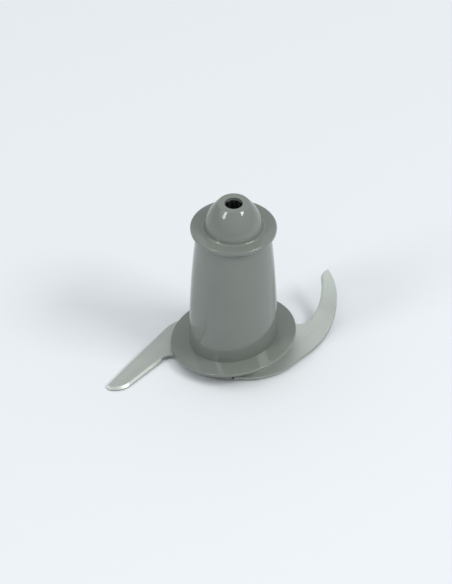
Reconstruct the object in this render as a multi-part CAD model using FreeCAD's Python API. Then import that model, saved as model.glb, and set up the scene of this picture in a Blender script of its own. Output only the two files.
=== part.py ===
import FreeCAD, Part
import math
import os

# Food processor blade: a hollow hub with two curved knives at its foot.
# Millimetres. Z is the spindle axis, up. Z = 0 is the bowl floor the foot rests on.
# X points to the high side of the sloping foot, Y away from the viewer.

Vec = FreeCAD.Vector
UP = Vec(0, 0, 1)
ORIGIN = Vec(0, 0, 0)

# Fits, each measured on the radius or across the joint
RUN_FIT = 0.10
SEAT_FIT = 0.05

# Black sleeve that runs up the middle and ends in the splined drive socket
SLEEVE_BORE_R = 8.6
SLEEVE_WALL = 2.2
SLEEVE_R = SLEEVE_BORE_R + SLEEVE_WALL
SLEEVE_TOP_Z = 72.0
SLEEVE_CONE_DROP = 4.0
SLEEVE_FLANGE_R = SLEEVE_R + 2.8
SOCKET_OUT_R = 8.0
SOCKET_ROOT_R = 5.5
SOCKET_TIP_R = 4.55
SOCKET_LOW_Z = 82.0
SPLINES = 9
SPLINE_W = 1.1
SPLINE_TURN = 84.0
KEY_W = 2.0
KEY_OUT = 0.9
KEYS = 4
KEY_LOW_Z = 6.0
KEY_TOP_Z = 56.0

# Tube of the foot that holds the sleeve
TUBE_WALL = 2.0
TUBE_BORE_R = SLEEVE_R + RUN_FIT
TUBE_R = TUBE_BORE_R + KEY_OUT + TUBE_WALL
TUBE_TOP_Z = 60.0

# Screws that clamp the stack, in posts that grow out of the tube
POST_R = 3.4
POST_LAP = 0.2
POST_TOP_Z = 20.0
SCREW_PITCH_R = TUBE_R + POST_R - POST_LAP
SCREWS = 4
SCREW_TURN = 45.0
SCREW_SHANK_R = 1.25
SCREW_HEAD_R = 2.5
SCREW_LEN = 15.0
SCREW_ROOM = 1.5
HEAD_SINK = 0.15
RECESS_L = 2.6
RECESS_W = 0.7
CLEAR_HOLE_R = 1.65

# Spigot of the foot, with its snap bead and the sealing ring in a groove
SEAL_Z = 17.6
SEAL_W = 1.5
SEAL_CORNER = 0.3
GROOVE_ROOM = 0.7
SPIGOT_R = SCREW_PITCH_R + POST_R + GROOVE_ROOM + SEAL_W
SPIGOT_WALL = 2.8
SPIGOT_Z = 26.0
BEAD_Z = 22.0
BEAD_OUT = 0.35
BEAD_HALF_H = 0.9

# Barrel of the hub, slightly bellied
WALL = 2.0
BARREL_FOOT_R = SPIGOT_R + 2.2
BARREL_TOP_R = BARREL_FOOT_R - 3.85
BARREL_MID_R = (BARREL_FOOT_R + BARREL_TOP_R) / 2 + 1.4
NECK_ROUND = 0.9

# Brim and dome on top of the barrel
BRIM_R = BARREL_TOP_R + 3.35
BRIM_LOW_Z = 86.3
BRIM_TOP_Z = BRIM_LOW_Z + 2.7
BRIM_ROUND = 0.7
BRIM_DISH = 0.5
DOME_FOOT_R = BRIM_R - 6.95
DOME_FOOT_ROUND = 1.3
DOME_ARC_Z = BRIM_LOW_Z - 2.3
DOME_TOP_Z = BRIM_TOP_Z + 16.3
TOP_HOLE_R = 5.15
CROWN_R = TOP_HOLE_R + 3.75
CROWN_WALL = 1.9

# Seat inside the dome for the socket, carried by ribs
SEAT_WALL = 1.6
SEAT_RISE = 4.0
SEAT_RIBS = 6

# Sloping foot: a round plate on a level core
FOOT_SLOPE = 8.0
FOOT_MID_Z = 10.5
FOOT_RIM_R = BARREL_FOOT_R + 11.1
FOOT_PLATE = 2.0
FOOT_CORE_R = BARREL_FOOT_R + 3.2
RIM_ROUND = 0.5
FOOT_RIB = 1.6
FOOT_RIBS = 8

# Knives and the ring they are clamped on
SHEET = 1.5
CLAMP_Z = 1.4
KNIFE_TOP = CLAMP_Z + SHEET
ROOT_R = FOOT_CORE_R + 1.6
ROOT_HOLE_R = SLEEVE_FLANGE_R + 0.3
SPLIT_GAP = 0.8
BEVEL = 1.25
EDGE_LAND = 0.35
RING_R = ROOT_R - 1.6
RING_BEVEL = 0.5

# Fold of the low knife and roll of the high knife, along each knife's own heading
FOLD_AT = ROOT_R + 3.0
FOLD_R = 30.0
LOW_HEADING = -123.6
LOW_FOLD_DEG = -1.3
HIGH_HEADING = 54.0
HIGH_FOLD_DEG = 39.0

# Outline of the low knife seen from above, counted from the middle of its fold
LOW_ROOT_BACK = (-1.7, 46.2)
LOW_CORNER = (-11.0, 49.0)
LOW_CORNER_MID = (-16.1, 45.8)
LOW_SHOULDER = (-20.1, 41.5)
LOW_TIP = (-53.2, -9.1)
LOW_TOE = (-51.7, -10.7)
LOW_TOE_MID = (-44.8, -10.4)
LOW_BELLY = (-39.7, -6.5)
LOW_HEEL = (-23.0, 13.4)
LOW_HEEL_MID = (-20.6, 16.1)
LOW_NOTCH = (-17.2, 17.1)
LOW_ROOT_FRONT = (-5.9, 15.2)

# Outline of the high knife seen from above, counted from the middle of its roll
HIGH_ROOT_FRONT = (-7.2, -48.4)
HIGH_BACK = [
    (-15.2, -55.2), (-9.6, -56.0), (-4.6, -55.4), (0.8, -53.5), (5.6, -51.3), (10.9, -47.6),
    (17.3, -40.3), (24.3, -32.5), (30.2, -24.4), (35.1, -15.5), (39.0, -6.1), (40.2, 1.5), (38.7, 10.1),
]
HIGH_TIP = (34.6, 17.9)
HIGH_NOSE_MID = (32.2, 17.0)
HIGH_TOE = (31.1, 14.8)
HIGH_FRONT = [(31.4, 9.3), (30.1, 2.9), (26.6, -3.5)]
HIGH_HEEL = (21.2, -8.7)
HIGH_NOTCH = (17.4, -8.7)
HIGH_NOTCH_MID = (15.4, -7.6)
HIGH_LUG = (14.4, -5.0)
HIGH_LUG_MID = (11.8, -1.8)
HIGH_LUG_BACK = (7.5, -1.2)
HIGH_ROOT_BACK = (-1.7, -5.5)


def polar(radius, degrees, z=0.0):
    a = math.radians(degrees)
    return Vec(radius * math.cos(a), radius * math.sin(a), z)


def tube(outer, inner, low, high):
    body = Part.makeCylinder(outer, high - low, Vec(0, 0, low))
    return body.cut(Part.makeCylinder(inner, high - low, Vec(0, 0, low)))


def revolve(edges):
    face = Part.Face(Part.Wire(edges))
    return face.revolve(ORIGIN, UP, 360)


def line(a, b):
    return Part.makeLine(a, b)


def arc(a, b, c):
    return Part.Arc(a, b, c).toShape()


def rz(radius, z):
    return Vec(radius, 0, z)


def smooth(points):
    curve = Part.BSplineCurve()
    curve.interpolate(points)
    return curve.toShape()


def foot_plane_cut(drop):
    # Solid that fills everything under the sloping plane lowered by drop
    size = 4 * FOOT_RIM_R
    block = Part.makeBox(size, size, size, Vec(-size / 2, -size / 2, -size))
    block.rotate(ORIGIN, Vec(0, 1, 0), -FOOT_SLOPE)
    block.translate(Vec(0, 0, FOOT_MID_Z - drop))
    return block


def screw_spot(index, z=0.0):
    return polar(SCREW_PITCH_R, SCREW_TURN + index * 360.0 / SCREWS, z)


# Knives

def folded_sheet(heading, fold_deg):
    # Sheet seen from its side: flat root, rolled stretch, flat arm; then swept wide
    a = math.radians(fold_deg)
    turn = 1 if fold_deg > 0 else -1
    reach = 2 * ROOT_R

    def layer(height):
        # radius of this layer of the sheet about the roll centre
        r = FOLD_R - turn * (height - CLAMP_Z)
        centre = rz(FOLD_AT, CLAMP_Z + turn * FOLD_R)
        start = rz(FOLD_AT, height)
        mid = centre + rz(r * math.sin(abs(a) / 2), -turn * r * math.cos(a / 2))
        end = centre + rz(r * math.sin(abs(a)), -turn * r * math.cos(a))
        far = end + rz(reach * math.cos(a), reach * math.sin(a))
        return start, mid, end, far

    low = layer(CLAMP_Z)
    top = layer(KNIFE_TOP)
    back_low = rz(-reach, CLAMP_Z)
    back_top = rz(-reach, KNIFE_TOP)
    edges = [
        line(back_low, low[0]),
        arc(low[0], low[1], low[2]),
        line(low[2], low[3]),
        line(low[3], top[3]),
        line(top[3], top[2]),
        arc(top[2], top[1], top[0]),
        line(top[0], back_top),
        line(back_top, back_low),
    ]
    sheet = Part.Face(Part.Wire(edges)).extrude(Vec(0, 2 * reach, 0))
    sheet.translate(Vec(0, -reach, 0))
    sheet.rotate(ORIGIN, UP, heading)
    return sheet


def plan(point):
    return Vec(point[0], point[1], 0)


def plan_lines(*points):
    return [line(plan(a), plan(b)) for a, b in zip(points, points[1:])]


def plan_arc(a, b, c):
    return arc(plan(a), plan(b), plan(c))


def at_fold(edges, heading):
    # The arm is drawn from its fold, which moves out with the root
    return [edge.translated(polar(FOLD_AT, heading)) for edge in edges]


def plan_prism(edges):
    face = Part.Face(Part.Wire(edges))
    prism = face.extrude(Vec(0, 0, 2 * ROOT_R))
    prism.translate(Vec(0, 0, -SHEET))
    return prism


def root_half(side):
    # Half ring of the knife root on the side the knife leaves from
    ring = tube(ROOT_R, ROOT_HOLE_R, CLAMP_Z, KNIFE_TOP)
    size = 2 * ROOT_R
    start = SPLIT_GAP / 2 if side > 0 else -SPLIT_GAP / 2 - size
    return ring.common(Part.makeBox(size, 2 * size, SHEET, Vec(start, -size, CLAMP_Z)))


def bevelled(knife, cut_edges):
    # Ground edge: a chamfer on the upper rim of the cutting side
    cut = Part.Wire(cut_edges)
    chosen = []
    for edge in knife.Edges:
        mid = edge.valueAt((edge.FirstParameter + edge.LastParameter) / 2)
        if Part.Vertex(mid.x, mid.y, 0).distToShape(cut)[0] > 0.02:
            continue
        ends = [v.Point for v in edge.Vertexes]
        if len(ends) < 2 or math.hypot(ends[0].x - ends[1].x, ends[0].y - ends[1].y) < 0.05:
            continue
        below = Part.Vertex(mid.x, mid.y, mid.z - SHEET / 2)
        if below.distToShape(knife)[0] < 0.02:
            chosen.append(edge)
    return knife.makeChamfer(SHEET - EDGE_LAND, BEVEL, chosen)


def finished_knife(arm, side):
    knife = arm.fuse(root_half(side)).removeSplitter()
    for i in range(SCREWS):
        knife = knife.cut(Part.makeCylinder(CLEAR_HOLE_R, 2 * KNIFE_TOP, screw_spot(i)))
    return knife


def low_knife():
    toe = plan_arc(LOW_TOE, LOW_TOE_MID, LOW_BELLY)
    heel = plan_arc(LOW_HEEL, LOW_HEEL_MID, LOW_NOTCH)
    cutting = plan_lines(LOW_HEEL, LOW_BELLY) + [toe] + plan_lines(LOW_TOE, LOW_TIP)
    outline = plan_lines(LOW_ROOT_BACK, LOW_CORNER)
    outline.append(plan_arc(LOW_CORNER, LOW_CORNER_MID, LOW_SHOULDER))
    outline += plan_lines(LOW_SHOULDER, LOW_TIP, LOW_TOE)
    outline.append(toe)
    outline += plan_lines(LOW_BELLY, LOW_HEEL)
    outline.append(heel)
    outline += plan_lines(LOW_NOTCH, LOW_ROOT_FRONT, LOW_ROOT_BACK)
    sheet = folded_sheet(LOW_HEADING, LOW_FOLD_DEG)
    arm = sheet.common(plan_prism(at_fold(outline, LOW_HEADING)))
    return finished_knife(bevelled(arm, at_fold(cutting, LOW_HEADING)), -1)


def high_knife():
    back_edge = smooth([plan(p) for p in HIGH_BACK + [HIGH_TIP]])
    front_edge = smooth([plan(p) for p in [HIGH_TOE] + HIGH_FRONT + [HIGH_HEEL]])
    nose = plan_arc(HIGH_TIP, HIGH_NOSE_MID, HIGH_TOE)
    outline = plan_lines(HIGH_ROOT_FRONT, HIGH_BACK[0])
    outline += [back_edge, nose, front_edge]
    outline += plan_lines(HIGH_HEEL, HIGH_NOTCH)
    outline.append(plan_arc(HIGH_NOTCH, HIGH_NOTCH_MID, HIGH_LUG))
    outline.append(plan_arc(HIGH_LUG, HIGH_LUG_MID, HIGH_LUG_BACK))
    outline += plan_lines(HIGH_LUG_BACK, HIGH_ROOT_BACK, HIGH_ROOT_FRONT)
    sheet = folded_sheet(HIGH_HEADING, HIGH_FOLD_DEG)
    arm = sheet.common(plan_prism(at_fold(outline, HIGH_HEADING)))
    return finished_knife(bevelled(arm, at_fold([nose, front_edge], HIGH_HEADING)), 1)


# Foot: sloping plate on a core, with the sleeve's tube, screw posts and a spigot for the hub

def foot_shell():
    slope = math.radians(FOOT_SLOPE)
    normal = Vec(-math.sin(slope), 0, math.cos(slope))
    centre = Vec(0, 0, FOOT_MID_Z)
    plate = Part.makeCylinder(FOOT_RIM_R, FOOT_PLATE, centre - normal * FOOT_PLATE, normal)
    rims = [e for e in plate.Edges if e.Length > 2 * math.pi * (FOOT_RIM_R - 0.01)]
    plate = plate.makeFillet(RIM_ROUND, rims)
    core = Part.makeCylinder(FOOT_CORE_R, FOOT_RIM_R, Vec(0, 0, KNIFE_TOP))
    body = plate.fuse(core.common(foot_plane_cut(FOOT_PLATE / 2)))
    pocket_r = FOOT_CORE_R - WALL
    pocket = Part.makeCylinder(pocket_r, FOOT_RIM_R, ORIGIN).common(foot_plane_cut(FOOT_PLATE))
    for i in range(FOOT_RIBS):
        rib = Part.makeBox(FOOT_CORE_R, FOOT_RIB, FOOT_RIM_R, Vec(0, -FOOT_RIB / 2, 0))
        rib.rotate(ORIGIN, UP, (i + 0.5) * 360.0 / FOOT_RIBS)
        pocket = pocket.cut(rib)
    return body.cut(pocket)


def bead(extra):
    # Low ridge round the spigot that the hub clicks over
    inside = SPIGOT_R - 1.0
    out = SPIGOT_R + BEAD_OUT + extra
    flank = BEAD_HALF_H + extra
    edges = [
        line(rz(inside, BEAD_Z - flank), rz(SPIGOT_R, BEAD_Z - flank)),
        line(rz(SPIGOT_R, BEAD_Z - flank), rz(out, BEAD_Z - flank / 2)),
        line(rz(out, BEAD_Z - flank / 2), rz(out, BEAD_Z + flank / 2)),
        line(rz(out, BEAD_Z + flank / 2), rz(SPIGOT_R, BEAD_Z + flank)),
        line(rz(SPIGOT_R, BEAD_Z + flank), rz(inside, BEAD_Z + flank)),
        line(rz(inside, BEAD_Z + flank), rz(inside, BEAD_Z - flank)),
    ]
    return revolve(edges)


def seal_ring():
    ring = tube(SPIGOT_R, SPIGOT_R - SEAL_W, SEAL_Z - SEAL_W / 2, SEAL_Z + SEAL_W / 2)
    rims = [e for e in ring.Edges if e.Length > 2 * math.pi * (SPIGOT_R - 0.01)]
    return ring.makeChamfer(SEAL_CORNER, rims)


def seal_groove():
    half = SEAL_W / 2 + SEAT_FIT
    return tube(SPIGOT_R + 1.0, SPIGOT_R - SEAL_W, SEAL_Z - half, SEAL_Z + half)


def key_set(extra, low, high):
    keys = []
    for i in range(KEYS):
        key = Part.makeBox(
            SLEEVE_R + KEY_OUT + extra, KEY_W + 2 * extra, high - low,
            Vec(0, -KEY_W / 2 - extra, low),
        )
        key.rotate(ORIGIN, UP, i * 360.0 / KEYS)
        keys.append(key)
    return keys[0].fuse(keys[1:])


def foot():
    column = Part.makeCylinder(TUBE_R, TUBE_TOP_Z - KNIFE_TOP, Vec(0, 0, KNIFE_TOP))
    body = foot_shell().fuse(column)
    spigot_r = SPIGOT_R - SEAT_FIT
    spigot = tube(spigot_r, spigot_r - SPIGOT_WALL, KNIFE_TOP, SPIGOT_Z)
    body = body.fuse(spigot.fuse(bead(0)))
    for i in range(SCREWS):
        body = body.fuse(Part.makeCylinder(POST_R, POST_TOP_Z - KNIFE_TOP, screw_spot(i, KNIFE_TOP)))
    body = body.cut(Part.makeCylinder(TUBE_BORE_R, TUBE_TOP_Z, ORIGIN))
    body = body.cut(key_set(SEAT_FIT, 0, TUBE_TOP_Z + 1))
    for i in range(SCREWS):
        body = body.cut(Part.makeCylinder(SCREW_SHANK_R + SEAT_FIT, SCREW_LEN + SCREW_ROOM, screw_spot(i)))
    return body.cut(seal_groove()).removeSplitter()


# Hub: one moulding with dome, brim and barrel, open below

def barrel_points():
    top_z = BRIM_LOW_Z - NECK_ROUND
    return rz(BARREL_FOOT_R, 0), rz(BARREL_MID_R, top_z / 2), rz(BARREL_TOP_R, top_z)


def barrel_side(low, mid, top):
    # The same arc as a rational curve, which keeps the mesh of the long side light
    return arc(low, mid, top).toNurbs().Edges[0]


def barrel_circle():
    return arc(*barrel_points()).Curve


def barrel_r(z):
    circle = barrel_circle()
    return circle.Center.x + math.sqrt(circle.Radius ** 2 - (z - circle.Center.z) ** 2)


def dome_centre():
    # The dome's arc would stand upright a little under the brim; it ends at the flat crown
    inset = DOME_FOOT_R - CROWN_R
    rise = DOME_TOP_Z - DOME_ARC_Z
    radius = (inset ** 2 + rise ** 2) / (2 * inset)
    return rz(DOME_FOOT_R - radius, DOME_ARC_Z), radius


def crease_centre():
    # Centre of the small hollow round between brim and dome
    centre, radius = dome_centre()
    z = BRIM_TOP_Z - BRIM_DISH + DOME_FOOT_ROUND
    reach = radius + DOME_FOOT_ROUND
    return rz(centre.x + math.sqrt(reach ** 2 - (z - centre.z) ** 2), z)


def corner_arc(centre, radius, start, end):
    # Arc about centre between two angles in degrees, in the profile plane
    points = []
    for degrees in (start, (start + end) / 2, end):
        a = math.radians(degrees)
        points.append(centre + rz(radius * math.cos(a), radius * math.sin(a)))
    return arc(points[0], points[1], points[2])


def hub_outer():
    neck_z = BRIM_LOW_Z - NECK_ROUND
    neck_r = BARREL_TOP_R + NECK_ROUND
    edge_r = BRIM_R - BRIM_ROUND
    edge_low = BRIM_LOW_Z + BRIM_ROUND
    edge_top = BRIM_TOP_Z - BRIM_ROUND
    centre, radius = dome_centre()
    crease = crease_centre()
    foot_angle = math.degrees(math.atan2(crease.z - centre.z, crease.x - centre.x))
    crown_angle = math.degrees(math.asin((DOME_TOP_Z - centre.z) / radius))
    edges = [
        line(rz(0, 0), rz(BARREL_FOOT_R, 0)),
        barrel_side(*barrel_points()),
        corner_arc(rz(neck_r, neck_z), NECK_ROUND, 180, 90),
        line(rz(neck_r, BRIM_LOW_Z), rz(edge_r, BRIM_LOW_Z)),
        corner_arc(rz(edge_r, edge_low), BRIM_ROUND, 270, 360),
        line(rz(BRIM_R, edge_low), rz(BRIM_R, edge_top)),
        corner_arc(rz(edge_r, edge_top), BRIM_ROUND, 0, 90),
        line(rz(edge_r, BRIM_TOP_Z), rz(crease.x, BRIM_TOP_Z - BRIM_DISH)),
        corner_arc(crease, DOME_FOOT_ROUND, 270, 180 + foot_angle),
        corner_arc(centre, radius, foot_angle, crown_angle),
        line(rz(CROWN_R, DOME_TOP_Z), rz(0, DOME_TOP_Z)),
        line(rz(0, DOME_TOP_Z), rz(0, 0)),
    ]
    return revolve(edges)


def hub_inner():
    # Hollow: straight over the spigot, then parallel to the barrel and the dome
    circle = barrel_circle()
    step = math.sqrt(circle.Radius ** 2 - (SPIGOT_R + WALL - circle.Center.x) ** 2)
    low_z = circle.Center.z + step
    top_z = BRIM_LOW_Z
    mid_z = (low_z + top_z) / 2
    top_r = barrel_r(top_z) - WALL
    centre, radius = dome_centre()
    inside = radius - WALL
    roof_z = DOME_TOP_Z - CROWN_WALL
    foot_angle = math.degrees(math.asin((top_z - centre.z) / inside))
    roof_angle = math.degrees(math.asin((roof_z - centre.z) / inside))
    foot_r = centre.x + inside * math.cos(math.radians(foot_angle))
    roof_r = centre.x + inside * math.cos(math.radians(roof_angle))
    edges = [
        line(rz(0, 0), rz(SPIGOT_R, 0)),
        line(rz(SPIGOT_R, 0), rz(SPIGOT_R, low_z)),
        barrel_side(rz(SPIGOT_R, low_z), rz(barrel_r(mid_z) - WALL, mid_z), rz(top_r, top_z)),
        line(rz(top_r, top_z), rz(foot_r, top_z)),
        corner_arc(centre, inside, foot_angle, roof_angle),
        line(rz(roof_r, roof_z), rz(0, roof_z)),
        line(rz(0, roof_z), rz(0, 0)),
    ]
    return revolve(edges)


def hub():
    body = hub_outer()
    seat_in = SOCKET_OUT_R + SEAT_FIT
    seat_low = SLEEVE_TOP_Z + SEAT_RISE
    seat_h = DOME_TOP_Z - seat_low
    seat = Part.makeCylinder(seat_in + SEAT_WALL, seat_h, Vec(0, 0, seat_low))
    ribs = []
    for i in range(SEAT_RIBS):
        rib = Part.makeBox(BARREL_FOOT_R, FOOT_RIB, seat_h, Vec(SOCKET_OUT_R, -FOOT_RIB / 2, seat_low))
        rib.rotate(ORIGIN, UP, i * 360.0 / SEAT_RIBS)
        ribs.append(rib)
    hollow = hub_inner().cut(seat.fuse(ribs)).fuse(bead(SEAT_FIT))
    socket_bore = Part.makeCylinder(seat_in, seat_h - CROWN_WALL, Vec(0, 0, seat_low))
    body = body.cut(hollow.fuse(socket_bore))
    body = body.cut(foot_plane_cut(-SEAT_FIT))
    return body.cut(Part.makeCylinder(TOP_HOLE_R, 2 * CROWN_WALL, Vec(0, 0, DOME_TOP_Z - 2 * CROWN_WALL)))


# Sleeve

def sleeve():
    top = DOME_TOP_Z - CROWN_WALL - SEAT_FIT
    body = Part.makeCylinder(SLEEVE_R, SLEEVE_TOP_Z - CLAMP_Z, Vec(0, 0, CLAMP_Z))
    body = body.fuse(Part.makeCylinder(SLEEVE_FLANGE_R, SHEET - SEAT_FIT, Vec(0, 0, CLAMP_Z)))
    body = body.fuse(Part.makeCylinder(SOCKET_OUT_R, top - SLEEVE_TOP_Z, Vec(0, 0, SLEEVE_TOP_Z)))
    body = body.fuse(key_set(0, KEY_LOW_Z, KEY_TOP_Z))
    bore_top = SLEEVE_TOP_Z - SLEEVE_CONE_DROP
    bore = Part.makeCylinder(SLEEVE_BORE_R, bore_top, ORIGIN)
    cone_h = SLEEVE_BORE_R - SOCKET_ROOT_R
    bore = bore.fuse(Part.makeCone(SLEEVE_BORE_R, SOCKET_ROOT_R, cone_h, Vec(0, 0, bore_top)))
    bore = bore.fuse(Part.makeCylinder(SOCKET_ROOT_R, top, ORIGIN))
    splines = []
    for i in range(SPLINES):
        tooth = Part.makeBox(
            SOCKET_ROOT_R + 0.5 - SOCKET_TIP_R, SPLINE_W, top - SOCKET_LOW_Z,
            Vec(SOCKET_TIP_R, -SPLINE_W / 2, SOCKET_LOW_Z),
        )
        tooth.rotate(ORIGIN, UP, SPLINE_TURN + i * 360.0 / SPLINES)
        splines.append(tooth)
    return body.cut(bore.cut(splines[0].fuse(splines[1:]))).removeSplitter()


# Ring below and its screws

def base_ring():
    edges = [
        line(rz(SLEEVE_BORE_R, 0), rz(RING_R - RING_BEVEL, 0)),
        line(rz(RING_R - RING_BEVEL, 0), rz(RING_R, RING_BEVEL)),
        line(rz(RING_R, RING_BEVEL), rz(RING_R, CLAMP_Z)),
        line(rz(RING_R, CLAMP_Z), rz(SLEEVE_BORE_R, CLAMP_Z)),
        line(rz(SLEEVE_BORE_R, CLAMP_Z), rz(SLEEVE_BORE_R, 0)),
    ]
    body = revolve(edges)
    for i in range(SCREWS):
        body = body.cut(Part.makeCylinder(CLEAR_HOLE_R, 2 * CLAMP_Z, screw_spot(i)))
        body = body.cut(screw_head(screw_spot(i), SEAT_FIT))
    return body


def screw_head(spot, extra):
    # Countersunk head with a low straight rim
    drop = SCREW_HEAD_R - SCREW_SHANK_R
    cone = Part.makeCone(SCREW_HEAD_R + extra, SCREW_SHANK_R + extra, drop, spot + Vec(0, 0, HEAD_SINK))
    return cone.fuse(Part.makeCylinder(SCREW_HEAD_R + extra, HEAD_SINK, spot))


def screw(index):
    spot = screw_spot(index)
    body = screw_head(spot, 0).fuse(Part.makeCylinder(SCREW_SHANK_R, SCREW_LEN, spot))
    long_half = RECESS_L / 2
    thin_half = RECESS_W / 2
    recess = Part.makeBox(RECESS_L, RECESS_W, RECESS_W, spot - Vec(long_half, thin_half, 0))
    cross = Part.makeBox(RECESS_W, RECESS_L, RECESS_W, spot - Vec(thin_half, long_half, 0))
    return body.cut(recess.fuse(cross)).removeSplitter()


def main():
    os.makedirs("parts", exist_ok=True)
    nodes = {
        "hub": hub(),
        "foot": foot(),
        "drive_sleeve": sleeve(),
        "low_knife": low_knife(),
        "high_knife": high_knife(),
        "base_ring": base_ring(),
        "hub_seal": seal_ring(),
    }
    for i in range(SCREWS):
        nodes["clamp_screw_%d" % (i + 1)] = screw(i)
    for name, shape in nodes.items():
        shape.exportStep("parts/%s.step" % name)


main()
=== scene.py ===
import math

import bpy
from mathutils import Matrix, Vector

# Looks of the food processor blade. Metres, Z up, Y away from the viewer.

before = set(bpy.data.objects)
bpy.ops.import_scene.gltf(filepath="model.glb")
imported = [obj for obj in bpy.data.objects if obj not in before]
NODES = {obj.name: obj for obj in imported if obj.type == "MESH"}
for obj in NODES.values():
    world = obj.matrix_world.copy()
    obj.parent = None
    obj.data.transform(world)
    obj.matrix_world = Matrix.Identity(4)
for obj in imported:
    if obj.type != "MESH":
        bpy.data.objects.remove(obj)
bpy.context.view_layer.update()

MM = 0.001

# Camera at the viewing angle of the photograph
CAM_TARGET = Vector((-4.146, 0.0, 41.234)) * MM
CAM_ELEVATION = math.radians(39.437)
CAM_ROLL = math.radians(0.127)
CAM_DISTANCE = 3.0
CAM_LENS = 327.33

# Colours, linear
HUB_GREY = (0.184, 0.205, 0.184, 1.0)
STEEL = (0.605, 0.64, 0.598, 1.0)
FLOOR_WHITE = (0.75, 0.78, 0.805, 1.0)
ROOM_TINT = (0.96, 0.98, 1.0, 1.0)
LAMP_TINT = (1.0, 0.99, 0.97)

# Room light on matt surfaces: even up to the wall's top, then rising to the ceiling's.
# Heights run from 0 at the horizon to 1 overhead.
WALL_LIGHT = 0.27
WALL_TOP = 0.35
CEILING_LIGHT = 1.25

# The room as gloss and steel show it: palest one way, to the upper left, and dim elsewhere.
# PALE_RIM is the cosine of the angle from that way at which it starts to grow pale.
PALE_WAY = (-0.66, -0.13, 0.74)
PALE_RIM = 0.86
PALE_ROOM = 2.30
DIM_ROOM = 0.70

LAMP_AIM = Vector((0.0, 0.0, 0.04))
LAMP_DISTANCE = 2.5
FLOOR_HALF = 4.0

# Knives, as the solids have them: where each arm points, and the roll that its sheet follows
LOW_HEADING = -123.6
LOW_FOLD_DEG = -1.3
HIGH_HEADING = 54.0
HIGH_FOLD_DEG = 39.0
FOLD_AT = 32.6 * MM
FOLD_R = 30.0 * MM

SCREWS = 4


# Node helpers

class Tree:
    """The node tree of a material or world, with short ways to add and join nodes."""

    def __init__(self, owner, output):
        self.owner = owner
        owner.use_nodes = True
        self.nodes = owner.node_tree.nodes
        self.nodes.clear()
        self.surface = self.add(output).inputs["Surface"]

    def add(self, kind, **settings):
        node = self.nodes.new(kind)
        for key, value in settings.items():
            setattr(node, key, value)
        return node

    def join(self, source, target):
        self.owner.node_tree.links.new(source, target)

    def feed(self, target, value):
        """Join a socket to the target, or set a plain value on it."""
        if isinstance(value, bpy.types.NodeSocket):
            self.join(value, target)
        else:
            target.default_value = value

    def principled(self, **inputs):
        node = self.add("ShaderNodeBsdfPrincipled")
        for key, value in inputs.items():
            node.inputs[key.replace("_", " ")].default_value = value
        self.join(node.outputs[0], self.surface)
        return node

    def place(self, stretch=(1.0, 1.0, 1.0), turn=0.0):
        """Object coordinates, first turned about Z and then stretched."""
        coord = self.add("ShaderNodeTexCoord")
        mapping = self.add("ShaderNodeMapping", vector_type="TEXTURE")
        mapping.inputs["Scale"].default_value = [1.0 / k for k in stretch]
        mapping.inputs["Rotation"].default_value = (0.0, 0.0, turn)
        self.join(coord.outputs["Object"], mapping.inputs["Vector"])
        return mapping.outputs[0]

    def noise(self, vector, scale, detail=3.0, rough=0.55):
        """Noise with so many waves to the metre."""
        node = self.add("ShaderNodeTexNoise")
        node.inputs["Scale"].default_value = scale
        node.inputs["Detail"].default_value = detail
        node.inputs["Roughness"].default_value = rough
        self.join(vector, node.inputs["Vector"])
        return node.outputs["Fac"]

    def spread(self, value, low=0.0, high=1.0, start=0.3, end=0.7):
        """Low up to the start, high from the end, and a straight rise between."""
        node = self.add("ShaderNodeMapRange")
        node.inputs["From Min"].default_value = start
        node.inputs["From Max"].default_value = end
        node.inputs["To Min"].default_value = low
        node.inputs["To Max"].default_value = high
        self.join(value, node.inputs["Value"])
        return node.outputs[0]

    def math(self, operation, a, b=0.0):
        node = self.add("ShaderNodeMath", operation=operation)
        self.feed(node.inputs[0], a)
        self.feed(node.inputs[1], b)
        return node.outputs[0]

    def dot(self, a, b):
        node = self.add("ShaderNodeVectorMath", operation="DOT_PRODUCT")
        self.feed(node.inputs[0], a)
        self.feed(node.inputs[1], b)
        return node.outputs["Value"]

    def mix(self, factor, a, b):
        node = self.add("ShaderNodeMix", data_type="RGBA")
        self.join(factor, node.inputs["Factor"])
        self.feed(node.inputs[6], a)
        self.feed(node.inputs[7], b)
        return node.outputs[2]

    def bump(self, height, strength, distance, target):
        node = self.add("ShaderNodeBump")
        node.inputs["Strength"].default_value = strength
        node.inputs["Distance"].default_value = distance
        self.join(height, node.inputs["Height"])
        self.join(node.outputs[0], target)


def material(name):
    return Tree(bpy.data.materials.new(name), "ShaderNodeOutputMaterial")


def shade(color, factor):
    return tuple(c * factor for c in color[:3]) + (1.0,)


# Materials

def glossy_grey():
    # Moulded gloss plastic: faint mottling, slight orange peel, rubbed edges
    m = material("hub_plastic")
    p = m.principled(IOR=1.58)
    at = m.place()
    mottle = m.spread(m.noise(at, scale=26.0, detail=2.0))
    tone = m.mix(mottle, shade(HUB_GREY, 0.96), shade(HUB_GREY, 1.04))
    pointed = m.add("ShaderNodeNewGeometry").outputs["Pointiness"]
    rubbed = m.spread(pointed, start=0.54, end=0.62)
    m.join(m.mix(rubbed, tone, shade(HUB_GREY, 1.08)), p.inputs["Base Color"])
    handled = m.noise(at, scale=60.0, detail=5.0, rough=0.65)
    m.join(m.spread(handled, low=0.05, high=0.11), p.inputs["Roughness"])
    fine = m.math("MULTIPLY", m.noise(at, scale=900.0), 0.15)
    peel = m.math("ADD", fine, m.noise(at, scale=130.0, detail=2.0))
    m.bump(peel, strength=0.05, distance=0.4 * MM, target=p.inputs["Normal"])
    return m.owner


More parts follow.
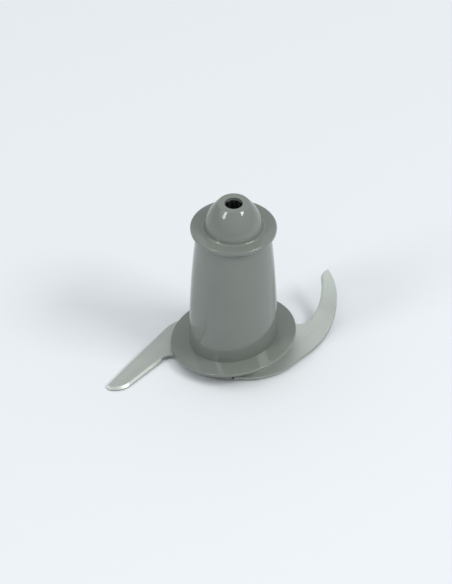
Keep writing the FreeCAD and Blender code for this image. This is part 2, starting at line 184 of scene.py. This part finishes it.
def satin_black(name, value, roughness):
    # Moulded black plastic or rubber: cloudy tone, uneven sheen, fine grain
    m = material(name)
    p = m.principled(IOR=1.5)
    at = m.place()
    black = (value, value, value)
    cloud = m.spread(m.noise(at, scale=80.0))
    m.join(m.mix(cloud, shade(black, 0.85), shade(black, 1.2)), p.inputs["Base Color"])
    sheen = m.noise(at, scale=240.0)
    m.join(m.spread(sheen, low=roughness - 0.06, high=roughness + 0.08), p.inputs["Roughness"])
    grain = m.noise(at, scale=2600.0, detail=2.0)
    m.bump(grain, strength=0.12, distance=0.2 * MM, target=p.inputs["Normal"])
    return m.owner


def squareness(m, heading, fold_deg):
    """How squarely a surface lies in the rolled sheet's face: 1 on the face, 0 on a cut edge."""
    a = math.radians(heading)
    reach = m.dot(m.add("ShaderNodeTexCoord").outputs["Object"], (math.cos(a), math.sin(a), 0.0))
    rolled = m.math("DIVIDE", m.math("SUBTRACT", reach, FOLD_AT), FOLD_R)
    steepest = math.sin(math.radians(abs(fold_deg)))
    rise = m.math("MINIMUM", m.math("MAXIMUM", rolled, 0.0), steepest)
    upright = m.math("SQRT", m.math("SUBTRACT", 1.0, m.math("MULTIPLY", rise, rise)))
    lean = m.math("MULTIPLY", rise, -1.0 if fold_deg > 0 else 1.0)
    face = m.add("ShaderNodeCombineXYZ")
    m.join(m.math("MULTIPLY", lean, math.cos(a)), face.inputs["X"])
    m.join(m.math("MULTIPLY", lean, math.sin(a)), face.inputs["Y"])
    m.join(upright, face.inputs["Z"])
    normal = m.add("ShaderNodeNewGeometry").outputs["True Normal"]
    return m.math("ABSOLUTE", m.dot(normal, face.outputs[0]))


def knife_steel(name, painted_light_factor, heading, fold_deg):
    # Rolled sheet: satin grain along the knife, dull sheared edges, and a ground bevel that is paler
    # partly by its grind and partly as a painted highlight
    m = material(name)
    p = m.principled(Metallic=0.66, Anisotropic=0.35)
    # Painted light and shade: the whole steel colour is scaled per knife, darker for the low knife and
    # paler for the high one, by how light falls on each.
    steel = shade(STEEL, painted_light_factor)
    square = squareness(m, heading, fold_deg)
    sheared = m.spread(square, low=1.0, high=0.0, start=0.30, end=0.50)
    off_face = m.spread(square, low=1.0, high=0.0, start=0.84, end=0.94)
    ground = m.math("SUBTRACT", off_face, sheared)
    along = m.place(stretch=(18.0, 700.0, 700.0), turn=math.radians(heading))
    grain = m.noise(along, scale=1.0, detail=4.0, rough=0.6)
    cloud = m.noise(m.place(), scale=55.0)
    tone = m.mix(m.spread(grain), shade(steel, 0.94), shade(steel, 1.05))
    tone = m.mix(m.math("MULTIPLY", m.spread(cloud), 0.5), tone, shade(steel, 0.93))
    # Painted highlight, in part: the ground bevel is made 2 percent paler, standing in for the bright
    # glint along the cutting edge as well as the grind's own tone.
    tone = m.mix(ground, tone, shade(steel, 1.02))
    m.join(m.mix(sheared, tone, shade(steel, 0.55)), p.inputs["Base Color"])
    satin = m.spread(grain, low=0.42, high=0.52)
    satin = m.math("ADD", satin, m.math("MULTIPLY", cloud, 0.05))
    polished = m.math("MULTIPLY", ground, -0.05)
    m.join(m.math("ADD", satin, polished), p.inputs["Roughness"])
    m.bump(grain, strength=0.10, distance=0.06 * MM, target=p.inputs["Normal"])
    return m.owner


def screw_steel():
    # Machined steel with small spots, some paler and rougher
    m = material("screw_metal")
    p = m.principled(Metallic=1.0)
    at = m.place()
    spots = m.noise(at, scale=500.0, detail=4.0)
    m.join(m.mix(m.spread(spots), shade(STEEL, 0.75), shade(STEEL, 1.1)), p.inputs["Base Color"])
    m.join(m.spread(spots, low=0.22, high=0.40), p.inputs["Roughness"])
    m.bump(m.noise(at, scale=1800.0), strength=0.15, distance=0.1 * MM, target=p.inputs["Normal"])
    return m.owner


def dress(node, look):
    slots = NODES[node].data.materials
    if len(slots) == 0:
        slots.append(look)
    for i in range(len(slots)):
        slots[i] = look


# Stage

def link(piece):
    bpy.context.scene.collection.objects.link(piece)


def floor():
    half = FLOOR_HALF
    corners = [(-half, -half, 0), (half, -half, 0), (half, half, 0), (-half, half, 0)]
    mesh = bpy.data.meshes.new("floor")
    mesh.from_pydata(corners, [], [(0, 1, 2, 3)])
    m = material("floor_board")
    p = m.principled(Base_Color=FLOOR_WHITE, Roughness=0.6, IOR=1.45)
    m.bump(m.noise(m.place(), scale=300.0), strength=0.05, distance=0.5 * MM, target=p.inputs["Normal"])
    mesh.materials.append(m.owner)
    piece = bpy.data.objects.new("floor", mesh)
    link(piece)


def room():
    w = Tree(bpy.data.worlds.new("studio"), "ShaderNodeOutputWorld")
    bpy.context.scene.world = w.owner
    way = w.add("ShaderNodeTexCoord").outputs["Generated"]
    lit = w.add("ShaderNodeBackground")
    lit.inputs["Color"].default_value = ROOM_TINT
    height = w.dot(way, (0.0, 0.0, 1.0))
    ceiling = w.spread(height, low=WALL_LIGHT, high=CEILING_LIGHT, start=WALL_TOP, end=1.0)
    w.join(ceiling, lit.inputs["Strength"])
    seen = w.add("ShaderNodeBackground")
    seen.inputs["Color"].default_value = FLOOR_WHITE
    pale = w.spread(w.dot(way, PALE_WAY), low=DIM_ROOM, high=PALE_ROOM, start=PALE_RIM, end=1.0)
    w.join(pale, seen.inputs["Strength"])
    rays = w.add("ShaderNodeLightPath").outputs
    looking = w.math("MAXIMUM", rays["Is Camera Ray"], rays["Is Glossy Ray"])
    looking = w.math("MAXIMUM", looking, rays["Is Transmission Ray"])
    either = w.add("ShaderNodeMixShader")
    w.join(looking, either.inputs[0])
    w.join(lit.outputs[0], either.inputs[1])
    w.join(seen.outputs[0], either.inputs[2])
    w.join(either.outputs[0], w.surface)


def soft_box(name, azimuth, elevation, wide, high, power):
    # Azimuth is counted from the viewer's side, to the right
    a = math.radians(azimuth)
    e = math.radians(elevation)
    way = Vector((math.sin(a) * math.cos(e), -math.cos(a) * math.cos(e), math.sin(e)))
    data = bpy.data.lights.new(name, "AREA")
    data.shape = "RECTANGLE"
    data.size = wide
    data.size_y = high
    data.energy = power
    data.color = LAMP_TINT
    lamp = bpy.data.objects.new(name, data)
    lamp.location = LAMP_AIM + way * LAMP_DISTANCE
    lamp.rotation_euler = way.to_track_quat("Z", "Y").to_euler()
    link(lamp)


def camera():
    data = bpy.data.cameras.new("camera")
    data.sensor_width = 36.0
    data.lens = CAM_LENS
    data.clip_start = 0.05
    data.clip_end = 50.0
    away = Vector((0.0, -math.cos(CAM_ELEVATION), math.sin(CAM_ELEVATION)))
    right = Vector((1.0, 0.0, 0.0))
    up = away.cross(right)
    c, s = math.cos(CAM_ROLL), math.sin(CAM_ROLL)
    turn = Matrix((right * c + up * s, up * c - right * s, away)).transposed()
    body = bpy.data.objects.new("camera", data)
    body.matrix_world = Matrix.Translation(CAM_TARGET + away * CAM_DISTANCE) @ turn.to_4x4()
    link(body)
    bpy.context.scene.camera = body


def main():
    camera()
    room()
    floor()
    soft_box("right_box", azimuth=66.0, elevation=42.0, wide=1.05, high=0.60, power=26.0)
    soft_box("left_box", azimuth=-56.0, elevation=38.0, wide=0.52, high=0.95, power=13.0)
    grey = glossy_grey()
    dress("hub", grey)
    dress("foot", grey)
    dress("drive_sleeve", satin_black("sleeve_black", value=0.024, roughness=0.20))
    # Painted shade: the base ring is made black to give the dark line in the gap under the front of the
    # foot, where the contact shadow falls.
    dress("base_ring", satin_black("ring_black", value=0.02, roughness=0.5))
    dress("hub_seal", satin_black("seal_rubber", value=0.015, roughness=0.6))
    # Painted shade on the low knife (0.88) and painted light on the high knife (1.12): lit and shaded
    # copies of one steel.
    dress("low_knife", knife_steel("low_knife_steel", 0.88, LOW_HEADING, LOW_FOLD_DEG))
    dress("high_knife", knife_steel("high_knife_steel", 1.12, HIGH_HEADING, HIGH_FOLD_DEG))
    screws = screw_steel()
    for i in range(SCREWS):
        dress("clamp_screw_%d" % (i + 1), screws)
    bpy.context.scene.view_settings.view_transform = "Standard"


main()
